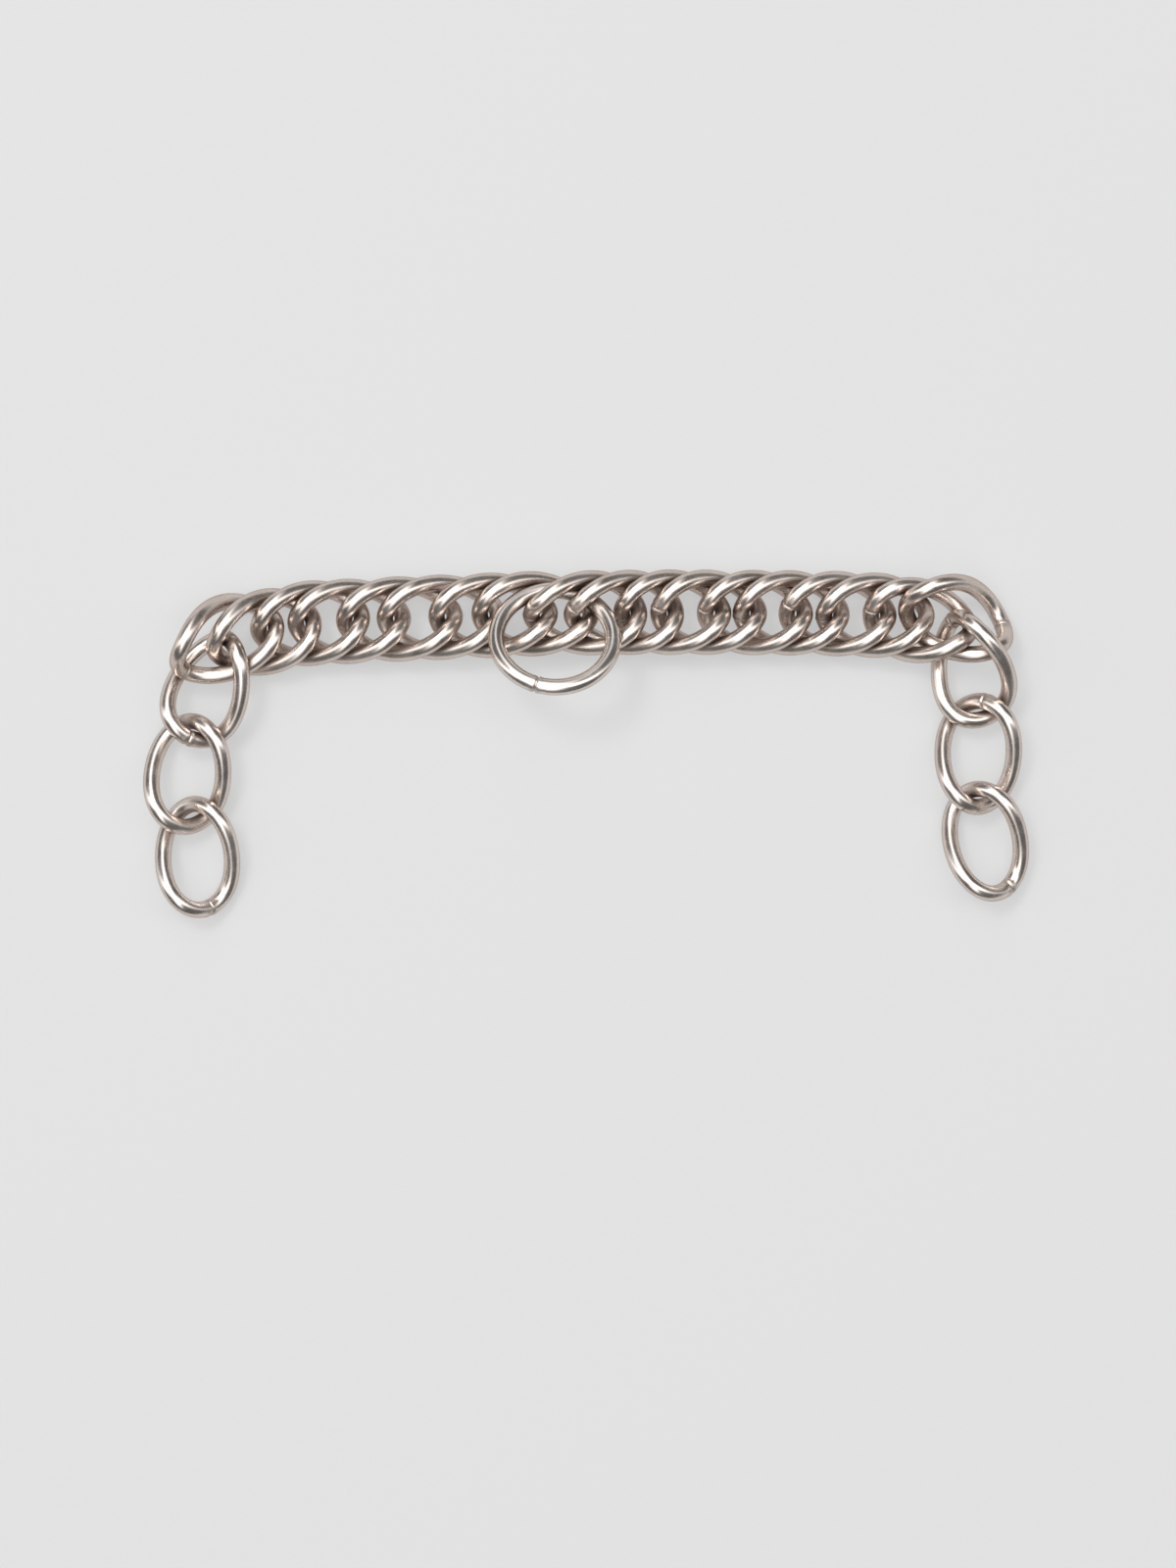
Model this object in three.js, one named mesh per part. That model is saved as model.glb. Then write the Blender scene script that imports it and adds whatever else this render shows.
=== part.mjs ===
// Double-link curb chain with a fly ring and three end links at each side, lying flat.
// Millimetres, +Z up; the long body of the chain runs along X and the ends trail towards -Y.
import * as THREE from "three";

// Wire diameters.
const BODY_WIRE = 3.38;
const END_WIRE = 3.3;
const RING_WIRE = 3.26;

// Body links: wire-centre half width, twist of each end out of the link's plane, number of links.
const BODY_LINKS = 18;
const BODY_HALF_WIDTH = 7.0;
const BODY_TWIST = 54;

// Length over all of body link n: a base length and two runs of longer links.
const BODY_LENGTH = 23.62;
const LONG_RUNS = [
  { extra: 2.9, middle: 6.56, spread: 3.41 },
  { extra: 0.62, middle: 15.76, spread: 1.67 },
];
// Each link is hooked to the next but one: how far the two overlap, end over end.
const HOOK_OVERLAP = 7.08;
// Left tips of the first two links; all the others follow from the hooking.
const FIRST_TIPS = [-85.4, -78.05];

// The body lies in a shallow arch, highest at ARCH_X and falling off as the square of the distance.
const ARCH_X = 24;
const ARCH_Y = 26.7;
const ARCH_FALL = 0.00035;

// Last links of the chain and the single ring.
const END_HALF_LENGTH = 10.82;
const END_HALF_WIDTH = 7.24;
const LAST_HALF_WIDTH = 7.0;
const END_TWIST = 42;
// How much wider than a plain ellipse every link is towards its ends.
const FULLNESS = 0.3;
const RING_RADIUS = 11.84;

// Facets of one link: steps round the loop and sides of the wire.
const STEPS = 28;
const RING_STEPS = 44;
const SIDES = 8;

const STEEL = { color: 0x9a938c, roughness: 0.34, metalness: 1.0 };
const BRIGHT_STEEL = { color: 0xa7a19a, roughness: 0.3, metalness: 1.0 };

// How the links that do not lie like the rest are turned: shift in mm, angles in degrees.
const SETTLED = {
  1: { dx: -0.1, dy: -2.1, dz: 2.7, turn: 23, pitch: 19.5, roll: 11.5, halfLength: 11 },
  2: { dx: 0.1, dy: -1.4, dz: 1.1, turn: 15, pitch: 9, roll: 10.5, halfLength: 10.5 },
  3: { dx: 0, dy: 0, dz: 0.4, turn: 5, pitch: 2, roll: 3.5 },
  7: { dx: 0, dy: 0, dz: 1.1, turn: 0, pitch: -0.5, roll: -2 },
  8: { dx: 0, dy: 0.1, dz: 0.5, turn: -2, pitch: 1.5, roll: -3.5 },
  9: { dx: -0.1, dy: 0, dz: 2.2, turn: 0.5, pitch: 5, roll: 12 },
  10: { dx: -0.2, dy: 0, dz: 1.7, turn: 0.5, pitch: 5.5, roll: 11 },
  11: { dx: 0, dy: 0, dz: 1.1, turn: 0, pitch: 1.5, roll: -1 },
  12: { dx: -0.1, dy: 0, dz: 0.7, turn: 0, pitch: 1, roll: -1 },
  16: { dx: 0.1, dy: -0.2, dz: 0.9, turn: 1.5, pitch: -2.5, roll: 1 },
  17: { dx: -0.1, dy: -1.2, dz: 1.2, turn: -9.5, pitch: -6, roll: -7 },
  18: { dx: -0.1, dy: -0.2, dz: 2.2, turn: -17.5, pitch: 13, roll: 1.5, halfLength: 10.8 },
};

// End links by side: middle of the link, turn of its long axis from +X, pitch and roll.
const END_LINKS = {
  left: [
    { at: [-77.1, 11.2, 1.4], turn: 71, pitch: 2.5, roll: -14, halfWidth: END_HALF_WIDTH },
    { at: [-81.3, -6.3, 0.8], turn: 83.5, pitch: -0.5, roll: 0, halfWidth: END_HALF_WIDTH },
    { at: [-79.4, -23.2, -0.1], turn: 93.5, pitch: 0, roll: 0, halfWidth: LAST_HALF_WIDTH },
  ],
  right: [
    { at: [78.4, 15.2, 2], turn: 102.5, pitch: -13, roll: -28.5, halfWidth: END_HALF_WIDTH },
    { at: [79.9, -2.2, 0.2], turn: 88, pitch: 0.5, roll: -1.5, halfWidth: END_HALF_WIDTH },
    { at: [81.4, -20, 0.3], turn: 102.5, pitch: 1.5, roll: -3, halfWidth: LAST_HALF_WIDTH },
  ],
};

// The fly ring leans on the body with its far side up in the air.
const RING_LAY = { at: [-6.4, 21.1, 8.4], turn: -0.5, pitch: 1.5, roll: -32.5 };

// Centreline of a link: a full oval whose two ends are twisted opposite ways about its long axis.
class TwistedOval extends THREE.Curve {
  constructor(halfLength, halfWidth, twistDegrees, fullness = FULLNESS) {
    super();
    this.halfLength = halfLength;
    this.halfWidth = halfWidth;
    this.twist = THREE.MathUtils.degToRad(twistDegrees);
    this.fullness = fullness;
  }

  getPoint(t, target = new THREE.Vector3()) {
    const angle = 2 * Math.PI * t;
    const along = Math.cos(angle);
    const across = this.halfWidth * Math.sin(angle) * (1 + this.fullness * along ** 2);
    const turned = -this.twist * along;
    return target.set(
      this.halfLength * along,
      across * Math.cos(turned),
      across * Math.sin(turned),
    );
  }
}

function bell(n, run) {
  return run.extra * Math.exp(-(((n - run.middle) / run.spread) ** 2));
}

function bodyLength(n) {
  return LONG_RUNS.reduce((sum, run) => sum + bell(n, run), BODY_LENGTH);
}

// Left tips of all body links, each pulled up tight on the link two before it.
function bodyTips() {
  const tips = [...FIRST_TIPS];
  for (let n = 3; n <= BODY_LINKS; n += 1) {
    tips.push(tips[n - 3] + bodyLength(n - 2) - HOOK_OVERLAP);
  }
  return tips;
}

function addLoop(group, name, curve, wire, steel, lay, steps = STEPS) {
  const tube = new THREE.TubeGeometry(curve, steps, wire / 2, SIDES, true);
  const mesh = new THREE.Mesh(tube, new THREE.MeshStandardMaterial(steel));
  mesh.name = name;
  mesh.position.set(...lay.at);
  mesh.rotation.set(
    THREE.MathUtils.degToRad(lay.roll),
    THREE.MathUtils.degToRad(lay.pitch),
    THREE.MathUtils.degToRad(lay.turn),
    "ZYX",
  );
  group.add(mesh);
}

function addBody(group) {
  bodyTips().forEach((tip, index) => {
    const n = index + 1;
    const length = bodyLength(n);
    const x = tip + length / 2;
    const slope = -2 * ARCH_FALL * (x - ARCH_X);
    const still = { dx: 0, dy: 0, dz: 0, turn: 0, pitch: 0, roll: 0 };
    const own = SETTLED[n] ?? still;
    const halfLength = own.halfLength ?? (length - BODY_WIRE) / 2;
    const oval = new TwistedOval(halfLength, BODY_HALF_WIDTH, BODY_TWIST);
    const y = ARCH_Y - ARCH_FALL * (x - ARCH_X) ** 2;
    addLoop(group, `body_link_${String(n).padStart(2, "0")}`, oval, BODY_WIRE, STEEL, {
      at: [x + own.dx, y + own.dy, own.dz],
      turn: THREE.MathUtils.radToDeg(Math.atan(slope)) + own.turn,
      pitch: own.pitch,
      roll: own.roll,
    });
  });
}

function addEnds(group) {
  for (const [side, links] of Object.entries(END_LINKS)) {
    links.forEach((lay, index) => {
      const oval = new TwistedOval(END_HALF_LENGTH, lay.halfWidth, END_TWIST);
      addLoop(group, `${side}_end_link_${index + 1}`, oval, END_WIRE, BRIGHT_STEEL, lay);
    });
  }
}

function addRing(group) {
  const circle = new TwistedOval(RING_RADIUS, RING_RADIUS, 0, 0);
  addLoop(group, "fly_ring", circle, RING_WIRE, BRIGHT_STEEL, RING_LAY, RING_STEPS);
}

const chain = new THREE.Group();
chain.name = "double_link_curb_chain";
addBody(chain);
addEnds(chain);
addRing(chain);

// Stand the chain on z = 0 with the middle of its box over the origin.
const box = new THREE.Box3().setFromObject(chain, true);
const middle = box.getCenter(new THREE.Vector3());
chain.position.set(-middle.x, -middle.y, -box.min.z);

export default chain;
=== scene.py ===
import math

import bpy
import numpy as np
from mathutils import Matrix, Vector


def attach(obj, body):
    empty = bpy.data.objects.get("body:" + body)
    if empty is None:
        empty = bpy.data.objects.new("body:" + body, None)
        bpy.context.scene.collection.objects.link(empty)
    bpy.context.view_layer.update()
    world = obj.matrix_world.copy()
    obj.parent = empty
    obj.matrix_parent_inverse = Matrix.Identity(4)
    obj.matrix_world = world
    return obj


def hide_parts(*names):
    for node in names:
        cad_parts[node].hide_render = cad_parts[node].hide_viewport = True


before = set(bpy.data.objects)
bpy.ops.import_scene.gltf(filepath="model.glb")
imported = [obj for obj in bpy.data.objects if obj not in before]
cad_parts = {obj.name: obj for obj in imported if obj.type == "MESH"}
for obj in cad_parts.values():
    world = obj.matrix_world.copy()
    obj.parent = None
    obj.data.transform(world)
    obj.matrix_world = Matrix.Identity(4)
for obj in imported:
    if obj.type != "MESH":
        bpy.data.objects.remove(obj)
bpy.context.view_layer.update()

MM = 0.001
FULL_TURN = 2 * math.pi

# ---------------------------------------------------------------- sizes of the links

# By kind: wire radius, wire radius of its CAD solid, half width of the loop at the wire's centre, how
# much fuller than an ellipse its ends are, and the twist of each end.
KINDS = {
    "body": dict(
        wire=1.69, cad_wire=1.69, half_width=7.0, fullness=0.3, twist=54.0, slot="body_steel"
    ),
    "end": dict(
        wire=1.66, cad_wire=1.65, half_width=7.24, fullness=0.3, twist=42.0, slot="end_steel"
    ),
    "last": dict(
        wire=1.66, cad_wire=1.65, half_width=7.0, fullness=0.3, twist=42.0, slot="end_steel"
    ),
    "ring": dict(
        wire=1.65, cad_wire=1.63, half_width=11.84, fullness=0.0, twist=0.0, slot="ring_steel"
    ),
}
STEPS = 240      # sections round a loop
SIDES = 36       # points round the wire
CLOSER = 0.55    # how strongly the sections crowd towards the weld

# Hand-made unevenness, as shares of the wire's radius.
SWELL = 0.006        # thicker along the strands, thinner at the ends
LONG_WAVE = 0.006
SHORT_WAVE = 0.004

# Butt weld, in mm: two lips of pushed-up metal with a seam between them.
NEAR_LIP_AT, NEAR_LIP_WIDTH, NEAR_LIP_HEIGHT = 0.62, 0.34, 0.12
FAR_LIP_AT, FAR_LIP_WIDTH, FAR_LIP_HEIGHT = -0.70, 0.40, 0.085
SEAM_WIDTH = 0.17
SEAM_DEPTH = {"body": 0.14, "end": 0.14, "last": 0.14, "ring": 0.27}
BEAD_HEIGHT, BEAD_REACH = 0.035, 0.8
SCORCH_REACH = 1.35

# Where round each loop the weld sits, in degrees from the end that the long axis points to.
RING_WELD = -108
LEFT_WELDS = {1: 176, 2: 12, 3: 192}
RIGHT_WELDS = {1: 20, 2: 350, 3: 200}
ODD_BODY_WELDS = {1: 205, 2: 222, 7: 200, 18: 14}
LEFT_HALF_LINKS = 9      # body links before this one have the weld at their right end


def kind_of(node):
    if node == "fly_ring":
        return "ring"
    if node.startswith("body_link"):
        return "body"
    return "last" if node.endswith("3") else "end"


def weld_degrees(node):
    """Where round the loop its weld sits."""
    if node == "fly_ring":
        return RING_WELD
    if node.startswith("left"):
        return LEFT_WELDS[int(node[-1])]
    if node.startswith("right"):
        return RIGHT_WELDS[int(node[-1])]
    number = int(node[-2:])
    scatter = math.sin(2.4 * number)
    usual = 26 + 9 * scatter if number < LEFT_HALF_LINKS else 172 + 12 * scatter
    return ODD_BODY_WELDS.get(number, usual)


def rough_direction(node):
    """Roughly where the link's long axis points: +X in the body and ring, to the body in the ends."""
    return np.array((0.0, 1.0, 0.0) if "end_link" in node else (1.0, 0.0, 0.0))


# ---------------------------------------------------------------- link meshes


def unit(v):
    return v / np.linalg.norm(v, axis=-1, keepdims=True)


def lay_of(node):
    """A link's centre, its axes (long, across, through) and its reach along the first, by its CAD."""
    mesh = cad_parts[node].data
    flat = np.empty(len(mesh.vertices) * 3)
    mesh.vertices.foreach_get("co", flat)
    points = np.unique(np.round(flat.reshape(-1, 3), 7), axis=0)
    centre = points.mean(axis=0)
    _, spread = np.linalg.eigh(np.cov((points - centre).T))
    through = spread[:, 0]
    if through[2] < 0:
        through = -through
    long_axis = spread[:, 2]
    if node == "fly_ring":
        # A round loop has no long axis of its own, so it takes +X laid into its plane.
        across_table = np.array([1.0, 0.0, 0.0])
        long_axis = unit(across_table - through * (across_table @ through))
    if long_axis @ rough_direction(node) < 0:
        long_axis = -long_axis
    reach = np.abs((points - centre) @ long_axis).max()
    return centre, np.stack([long_axis, np.cross(through, long_axis), through]), reach


def centreline(kind, half_length, t):
    """Points of the twisted oval, in mm, in the link's own axes."""
    k = KINDS[kind]
    along = np.cos(t)
    across = k["half_width"] * np.sin(t) * (1 + k["fullness"] * along**2)
    turned = -math.radians(k["twist"]) * along
    return np.stack(
        [half_length * along, across * np.cos(turned), across * np.sin(turned)], axis=1
    )


def sections(kind, half_length, weld_at):
    """Angles round the loop, wire centres, the wire's two cross directions, and distances along."""
    even = np.linspace(0, FULL_TURN, STEPS, endpoint=False) - math.pi
    t = weld_at + even - CLOSER * np.sin(even)
    line = centreline(kind, half_length, t)
    small = 1e-4
    tangent = unit(centreline(kind, half_length, t + small) - centreline(kind, half_length, t - small))
    outward = unit(line - tangent * np.sum(line * tangent, axis=1, keepdims=True))
    step = np.linalg.norm(np.roll(line, -1, axis=0) - line, axis=1)
    arc = np.concatenate([[0], np.cumsum(step)[:-1]])
    return t, line, outward, np.cross(tangent, outward), arc, step.sum()


def hump(gap, middle, width):
    """A smooth hump along the wire, 1 high at its middle."""
    return np.exp(-(((gap - middle) / width) ** 2))


def weld_profile(gap, theta, seed, depth):
    """How far the butt weld stands out of the wire, in mm, and how strongly it shows (0 to 1)."""
    rng = np.random.default_rng(seed)
    a, b, c, d = rng.uniform(0, FULL_TURN, 4)
    lip = 0.5 + 0.3 * np.sin(theta + a) + 0.2 * np.sin(3 * theta + b)
    near = hump(gap, NEAR_LIP_AT + 0.12 * np.sin(2 * theta + c), NEAR_LIP_WIDTH)
    far = hump(gap, FAR_LIP_AT - 0.10 * np.sin(2 * theta + d), FAR_LIP_WIDTH)
    seam = hump(gap, 0.10 * np.sin(theta + c), SEAM_WIDTH)
    beads = BEAD_HEIGHT * np.sin(7 * theta + a) * hump(gap, 0, BEAD_REACH)
    raised = lip * (NEAR_LIP_HEIGHT * near + FAR_LIP_HEIGHT * far)
    return raised - depth * (1 + 0.45 * lip) * seam + beads, hump(gap, 0, SCORCH_REACH)


def uneven(kind, t, theta, place, seed):
    """Hand-made unevenness of the wire, as a share of its radius; place runs 0 to 1 round the loop."""
    rng = np.random.default_rng(seed)
    long_phase, short_phase, side_phase = rng.uniform(0, FULL_TURN, 3)
    swell = 0.0 if kind == "ring" else SWELL * (1 - 2 * np.cos(t) ** 2)
    long_wave = LONG_WAVE * np.sin(FULL_TURN * 2 * place + long_phase)
    short_wave = SHORT_WAVE * np.sin(FULL_TURN * 5 * place + short_phase)
    return swell + long_wave + short_wave * np.cos(2 * theta + side_phase)


def tube_faces():
    """Quads of a closed tube, section by section."""
    step = np.arange(STEPS)[:, None]
    side = np.arange(SIDES)[None, :]
    after = (step + 1) % STEPS
    beside = (side + 1) % SIDES
    corners = [step * SIDES + side, step * SIDES + beside, after * SIDES + beside, after * SIDES + side]
    return np.stack(corners, axis=-1).reshape(-1, 4)


def put(mesh, name, form, field, values):
    layer = mesh.attributes.new(name, form, "POINT")
    layer.data.foreach_set(field, np.ascontiguousarray(values, dtype=np.float32).ravel())


def loop_mesh(name, node, seed):
    """A smooth link with its weld, where its CAD solid lies."""
    kind = kind_of(node)
    k = KINDS[kind]
    centre, axes, reach = lay_of(node)
    half_length = k["half_width"] if kind == "ring" else reach / MM - k["cad_wire"]
    weld_at = math.radians(weld_degrees(node))
    t, line, outward, sideways, arc, total = sections(kind, half_length, weld_at)

    theta = np.linspace(0, FULL_TURN, SIDES, endpoint=False)[None, :]
    gap = (arc - arc[STEPS // 2])[:, None]
    place = (arc / total)[:, None]
    lift, shown = weld_profile(gap, theta, seed, SEAM_DEPTH[kind])
    radius = k["wire"] * (1 + uneven(kind, t[:, None], theta, place, seed + 500)) + lift
    points = (
        line[:, None, :]
        + outward[:, None, :] * (radius * np.cos(theta))[..., None]
        + sideways[:, None, :] * (radius * np.sin(theta))[..., None]
    )
    points = (points.reshape(-1, 3) * MM) @ axes + centre

    mesh = bpy.data.meshes.new(name)
    mesh.from_pydata(points.tolist(), [], tube_faces().tolist())
    mesh.polygons.foreach_set("use_smooth", [True] * len(mesh.polygons))
    # The steel's pattern follows the wire: round it in the first two numbers, along it in the others.
    spin = FULL_TURN * place
    grain = np.stack(np.broadcast_arrays(np.cos(theta), np.sin(theta), np.cos(spin)), axis=-1)
    put(mesh, "grain", "FLOAT_VECTOR", "vector", grain)
    put(mesh, "turn", "FLOAT", "value", np.broadcast_to(np.sin(spin), radius.shape))
    put(mesh, "weld", "FLOAT", "value", np.broadcast_to(shown, radius.shape))
    mesh.update()
    return mesh


# ---------------------------------------------------------------- node trees


class Nodes:
    """Short calls for building a node tree."""

    def __init__(self, material):
        material.use_nodes = True
        self.tree = material.node_tree
        self.tree.nodes.clear()

    def add(self, kind, **settings):
        node = self.tree.nodes.new(kind)
        for key, value in settings.items():
            setattr(node, key, value)
        return node

    def put(self, socket, value):
        if isinstance(value, bpy.types.NodeSocket):
            self.tree.links.new(value, socket)
        else:
            socket.default_value = value

    def math(self, operation, a, b=0.0, c=0.0, clamp=False):
        node = self.add("ShaderNodeMath", operation=operation, use_clamp=clamp)
        for socket, value in zip(node.inputs, (a, b, c)):
            self.put(socket, value)
        return node.outputs[0]

    def mix(self, factor, a, b):
        node = self.add("ShaderNodeMix", data_type="RGBA")
        for socket, value in zip((node.inputs[0], node.inputs[6], node.inputs[7]), (factor, a, b)):
            self.put(socket, value)
        return node.outputs[2]

    def span(self, value, low, high, to_low=0.0, to_high=1.0):
        node = self.add("ShaderNodeMapRange", clamp=True)
        for socket, v in zip(node.inputs, (value, low, high, to_low, to_high)):
            self.put(socket, v)
        return node.outputs[0]

    def scaled(self, vector, scale):
        node = self.add("ShaderNodeVectorMath", operation="MULTIPLY")
        self.put(node.inputs[0], vector)
        node.inputs[1].default_value = scale
        return node.outputs[0]

    def noise(self, vector, scale, detail=3.0, rough=0.5, w=None):
        node = self.add("ShaderNodeTexNoise", noise_dimensions="3D" if w is None else "4D")
        self.put(node.inputs["Vector"], vector)
        if w is not None:
            self.put(node.inputs["W"], w)
        node.inputs["Scale"].default_value = scale
        node.inputs["Detail"].default_value = detail
        node.inputs["Roughness"].default_value = rough
        return node.outputs[0]

    def attribute(self, name, output="Fac"):
        return self.add("ShaderNodeAttribute", attribute_name=name).outputs[output]

    def bump(self, height, strength, distance, under=None):
        node = self.add("ShaderNodeBump")
        self.put(node.inputs["Height"], height)
        self.put(node.inputs["Strength"], strength)
        node.inputs["Distance"].default_value = distance
        if under is not None:
            self.put(node.inputs["Normal"], under)
        return node.outputs[0]


# ---------------------------------------------------------------- steel

# Painted shade: a dark brown laid into the colour in the recesses between links, as far as the occlusion
# reaches.
PAINTED_SHADE = (0.15, 0.098, 0.074, 1)
PAINTED_SHADE_REACH = 2.2 * MM
SCORCHED = (0.30, 0.235, 0.19, 1)
# Rims a little darker and browner than bare metal would show them.
RIM_TINT = (0.62, 0.52, 0.47, 1)
LINE_DEPTH = 0.03 * MM
PIT_DEPTH = 0.05 * MM
LINE_SHADE = 0.72


def wear(n, seed):
    """What the finish is drawn from: fine lines and bands along the wire, blotches, specks, and an
    occlusion mask for painted shade in the recesses.
    """
    grain = n.attribute("grain", "Vector")
    turn = n.attribute("turn")
    place = n.add("ShaderNodeTexCoord").outputs["Object"]
    # Occlusion mask for the painted shade in the recesses, which also makes them rougher.
    open_sky = n.add("ShaderNodeAmbientOcclusion", samples=6)
    open_sky.inputs["Distance"].default_value = PAINTED_SHADE_REACH
    band_turn = n.math("MULTIPLY_ADD", turn, 3.0, seed)
    return dict(
        fine=n.noise(n.scaled(grain, (34, 34, 5)), 1.0, 4.0, 0.6, n.math("MULTIPLY", turn, 5.0)),
        bands=n.noise(n.scaled(grain, (7, 7, 3)), 1.0, 3.0, 0.55, band_turn),
        blotch=n.noise(place, 210.0, 4.0, 0.6),
        speck=n.noise(place, 2600.0, 3.0, 0.7),
        recess_shade=n.span(open_sky.outputs["AO"], 0.25, 0.85, 0.78, 0.0),
        weld=n.attribute("weld"),
    )


def steel_colour(n, worn, light, dark):
    """Warm grey, duller in blotches, with painted shade, darker and browner, in the recesses between
    links.
    """
    colour = n.mix(n.span(worn["blotch"], 0.3, 0.72), dark, light)
    line_colour = (*[LINE_SHADE * v for v in dark[:3]], 1)
    colour = n.mix(n.span(worn["fine"], 0.35, 0.75, 0.0, 0.35), colour, line_colour)
    # Painted shade: darker and browner in the recesses between links.
    colour = n.mix(worn["recess_shade"], colour, PAINTED_SHADE)
    patchy = n.math("MULTIPLY", worn["weld"], n.span(worn["blotch"], 0.25, 0.75, 0.4, 1.0))
    return n.mix(n.span(patchy, 0.2, 0.95, 0.0, 0.42), colour, SCORCHED)


def steel_roughness(n, worn, low, high):
    """Satin along the lines, duller in blotches, in the recesses and at the weld."""
    drawn = n.math("ADD", n.math("MULTIPLY", worn["fine"], 0.55), n.math("MULTIPLY", worn["bands"], 0.45))
    rough = n.span(drawn, 0.3, 0.7, low, high)
    rough = n.math("ADD", rough, n.span(worn["blotch"], 0.35, 0.8, -0.03, 0.07))
    rough = n.math("ADD", rough, n.math("MULTIPLY", worn["recess_shade"], 0.18))
    return n.math("ADD", rough, n.math("MULTIPLY", worn["weld"], 0.14), clamp=True)


def steel_relief(n, worn):
    """Drawing lines, with pits over them that deepen at the weld."""
    lines = n.bump(worn["fine"], 0.10, LINE_DEPTH)
    pits = n.math("ADD", worn["speck"], n.math("MULTIPLY", worn["blotch"], 0.8))
    return n.bump(pits, n.span(worn["weld"], 0.0, 1.0, 0.10, 0.55), PIT_DEPTH, lines)


def steel(name, light, dark, rough_low, rough_high, seed):
    material = bpy.data.materials.new(name)
    n = Nodes(material)
    worn = wear(n, seed)
    shader = n.add("ShaderNodeBsdfPrincipled")
    n.put(shader.inputs["Base Color"], steel_colour(n, worn, light, dark))
    n.put(shader.inputs["Roughness"], steel_roughness(n, worn, rough_low, rough_high))
    n.put(shader.inputs["Normal"], steel_relief(n, worn))
    shader.inputs["Metallic"].default_value = 1.0
    shader.inputs["Specular Tint"].default_value = RIM_TINT
    n.put(n.add("ShaderNodeOutputMaterial").inputs["Surface"], shader.outputs[0])
    return material


STEELS = {
    "body_steel": steel(
        "body_satin_steel", (0.80, 0.725, 0.675, 1), (0.66, 0.575, 0.52, 1), 0.21, 0.36, 1.0
    ),
    "end_steel": steel(
        "end_satin_steel", (0.83, 0.76, 0.715, 1), (0.70, 0.62, 0.565, 1), 0.19, 0.32, 4.0
    ),
    "ring_steel": steel(
        "ring_satin_steel", (0.86, 0.80, 0.76, 1), (0.74, 0.67, 0.62, 1), 0.18, 0.30, 7.0
    ),
}

# ---------------------------------------------------------------- pieces

FIRST_SEED = 11

links = bpy.data.collections.new("links")
for index, node in enumerate(sorted(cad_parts)):
    slot = KINDS[kind_of(node)]["slot"]
    mesh = loop_mesh("wire_" + node, node, FIRST_SEED + index)
    mesh.materials.append(STEELS[slot])
    piece = bpy.data.objects.new("wire_" + node, mesh)
    bpy.context.scene.collection.objects.link(piece)
    links.objects.link(piece)
    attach(piece, node)
    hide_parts(node)

# ---------------------------------------------------------------- floor

FLOOR_HALF = 3.0
FLOOR_GAP = 0.05 * MM
FLOOR_SHADES = (0.215, 0.215, 0.215, 1), (0.225, 0.225, 0.225, 1)
# Lit a little from below, like a light table, so that shadows stay faint.
FLOOR_GLOW = 0.46


def pale_paper():
    material = bpy.data.materials.new("pale_floor")
    n = Nodes(material)
    shader = n.add("ShaderNodeBsdfPrincipled")
    tooth = n.noise(n.add("ShaderNodeTexCoord").outputs["Object"], 900.0, 2.0)
    n.put(shader.inputs["Base Color"], n.mix(tooth, *FLOOR_SHADES))
    shader.inputs["Emission Color"].default_value = (1.0, 1.0, 1.0, 1)
    shader.inputs["Emission Strength"].default_value = FLOOR_GLOW
    shader.inputs["Roughness"].default_value = 0.85
    shader.inputs["Specular IOR Level"].default_value = 0.1
    n.put(n.add("ShaderNodeOutputMaterial").inputs["Surface"], shader.outputs[0])
    return material


def keep_under(floor, links):
    """Move the floor to just under the lowest link, because some poses bend the chain below the table."""
    tree = bpy.data.node_groups.new("keep_under", "GeometryNodeTree")
    for way in ("INPUT", "OUTPUT"):
        tree.interface.new_socket("Geometry", in_out=way, socket_type="NodeSocketGeometry")
    given, result = tree.nodes.new("NodeGroupInput"), tree.nodes.new("NodeGroupOutput")
    chain = tree.nodes.new("GeometryNodeCollectionInfo")
    chain.transform_space = "RELATIVE"
    chain.inputs["Collection"].default_value = links
    whole = tree.nodes.new("GeometryNodeRealizeInstances")
    box = tree.nodes.new("GeometryNodeBoundBox")
    low = tree.nodes.new("ShaderNodeSeparateXYZ")
    drop = tree.nodes.new("ShaderNodeMath")
    drop.operation = "MINIMUM"
    drop.inputs[1].default_value = -FLOOR_GAP
    shift = tree.nodes.new("ShaderNodeCombineXYZ")
    moved = tree.nodes.new("GeometryNodeTransform")
    for start, end in (
        (chain.outputs[0], whole.inputs[0]),
        (whole.outputs[0], box.inputs[0]),
        (box.outputs["Min"], low.inputs[0]),
        (low.outputs["Z"], drop.inputs[0]),
        (drop.outputs[0], shift.inputs["Z"]),
        (shift.outputs[0], moved.inputs["Translation"]),
        (given.outputs[0], moved.inputs["Geometry"]),
        (moved.outputs[0], result.inputs[0]),
    ):
        tree.links.new(start, end)
    floor.modifiers.new("keep_under", "NODES").node_group = tree


floor_mesh = bpy.data.meshes.new("floor")
corners = [(-1, -1), (1, -1), (1, 1), (-1, 1)]
floor_mesh.from_pydata([(FLOOR_HALF * x, FLOOR_HALF * y, 0) for x, y in corners], [], [(0, 1, 2, 3)])
floor_mesh.materials.append(pale_paper())
floor = bpy.data.objects.new("floor", floor_mesh)
bpy.context.scene.collection.objects.link(floor)
keep_under(floor, links)

# ---------------------------------------------------------------- light

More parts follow.
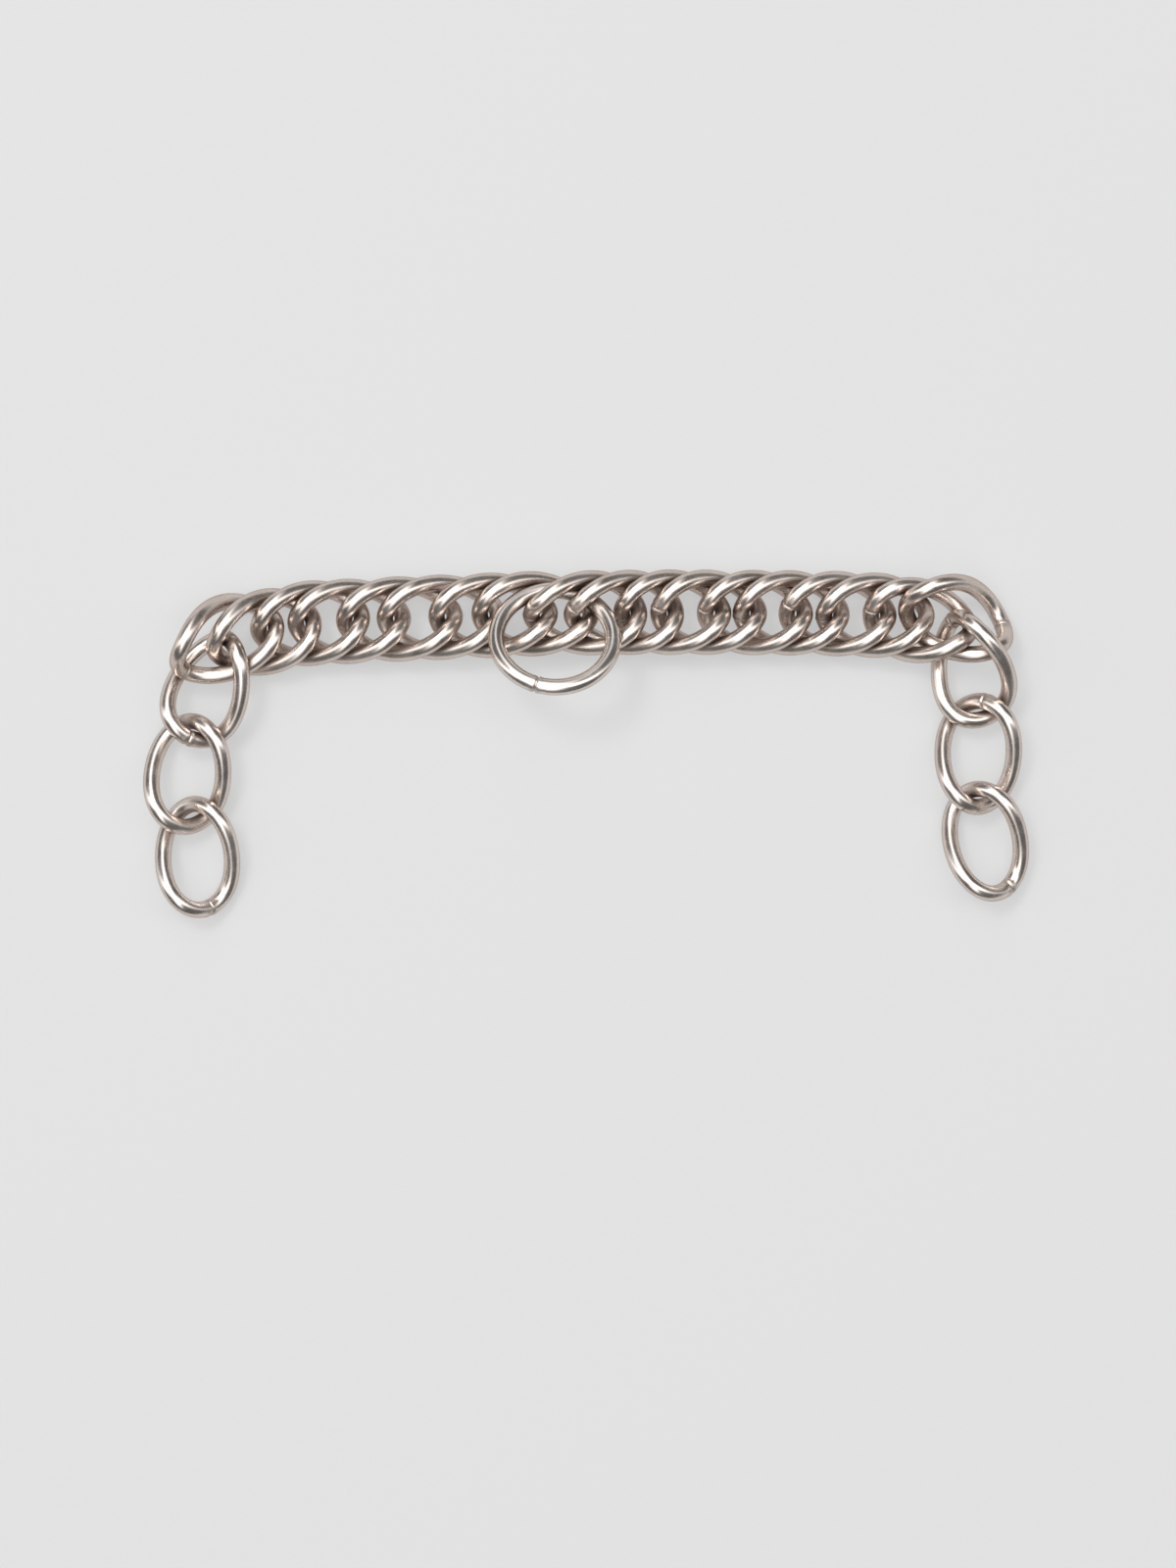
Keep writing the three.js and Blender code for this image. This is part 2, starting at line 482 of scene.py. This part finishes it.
# Two crossed strips of light overhead, and how bright they and the walls under them are. Each strip is
# an oval in the X and Y of a direction: its middle and how far it reaches each way.
STRIP_LIGHT, WALL_LIGHT = 2.2, 0.13
STRIPS = [((-0.06, 0.08, 0.0), (0.98, 0.31)), ((-0.10, 0.08, 0.0), (0.36, 0.82))]
STRIP_SOFT = 0.20
BACKDROP = 0.76      # grey that the camera sees past the floor

LAMP_AT = (-0.42, 0.46, 1.15)
LAMP_SIZE = 0.34
LAMP_WATTS = 6.0


def strip_distance(n, direction, middle, reach):
    """0 in the middle of a strip and 1 at its edge."""
    offset = n.add("ShaderNodeVectorMath", operation="SUBTRACT")
    n.put(offset.inputs[0], direction)
    offset.inputs[1].default_value = middle
    length = n.add("ShaderNodeVectorMath", operation="LENGTH")
    n.put(length.inputs[0], n.scaled(offset.outputs[0], (1 / reach[0], 1 / reach[1], 0.0)))
    return length.outputs["Value"]


def studio_world():
    world = bpy.data.worlds.new("studio")
    n = Nodes(world)
    direction = n.add("ShaderNodeTexCoord").outputs["Generated"]
    away = n.math("MINIMUM", *[strip_distance(n, direction, *strip) for strip in STRIPS])
    light = n.span(away, 1 - STRIP_SOFT, 1 + STRIP_SOFT, STRIP_LIGHT, WALL_LIGHT)
    seen = n.add("ShaderNodeLightPath").outputs["Is Camera Ray"]
    unseen_light = n.math("MULTIPLY", light, n.math("SUBTRACT", 1.0, seen))
    background = n.add("ShaderNodeBackground")
    n.put(background.inputs["Color"], n.mix(seen, (1.0, 1.0, 1.0, 1), (BACKDROP, BACKDROP, BACKDROP, 1)))
    n.put(background.inputs["Strength"], n.math("ADD", unseen_light, seen))
    n.put(n.add("ShaderNodeOutputWorld").inputs["Surface"], background.outputs[0])
    return world


def overhead_lamp():
    light = bpy.data.lights.new("overhead", "AREA")
    light.shape = "RECTANGLE"
    light.size, light.size_y = LAMP_SIZE, LAMP_SIZE
    light.energy = LAMP_WATTS
    lamp = bpy.data.objects.new("overhead", light)
    lamp.location = LAMP_AT
    lamp.rotation_mode = "QUATERNION"
    lamp.rotation_quaternion = (-Vector(LAMP_AT)).to_track_quat("-Z", "Y")
    bpy.context.scene.collection.objects.link(lamp)


bpy.context.scene.world = studio_world()
overhead_lamp()

# ---------------------------------------------------------------- camera

LENS, SENSOR = 100.0, 36.0
FRAME_TALL = 0.320          # what the picture covers at the chain, top to bottom
AIM = Vector((0.25 * MM, -8.2 * MM, 5 * MM))

camera_data = bpy.data.cameras.new("camera")
camera_data.lens, camera_data.sensor_width = LENS, SENSOR
camera = bpy.data.objects.new("camera", camera_data)
camera.location = AIM + Vector((0, 0, FRAME_TALL * LENS / SENSOR))
bpy.context.scene.collection.objects.link(camera)
bpy.context.scene.camera = camera
bpy.context.scene.view_settings.view_transform = "Standard"
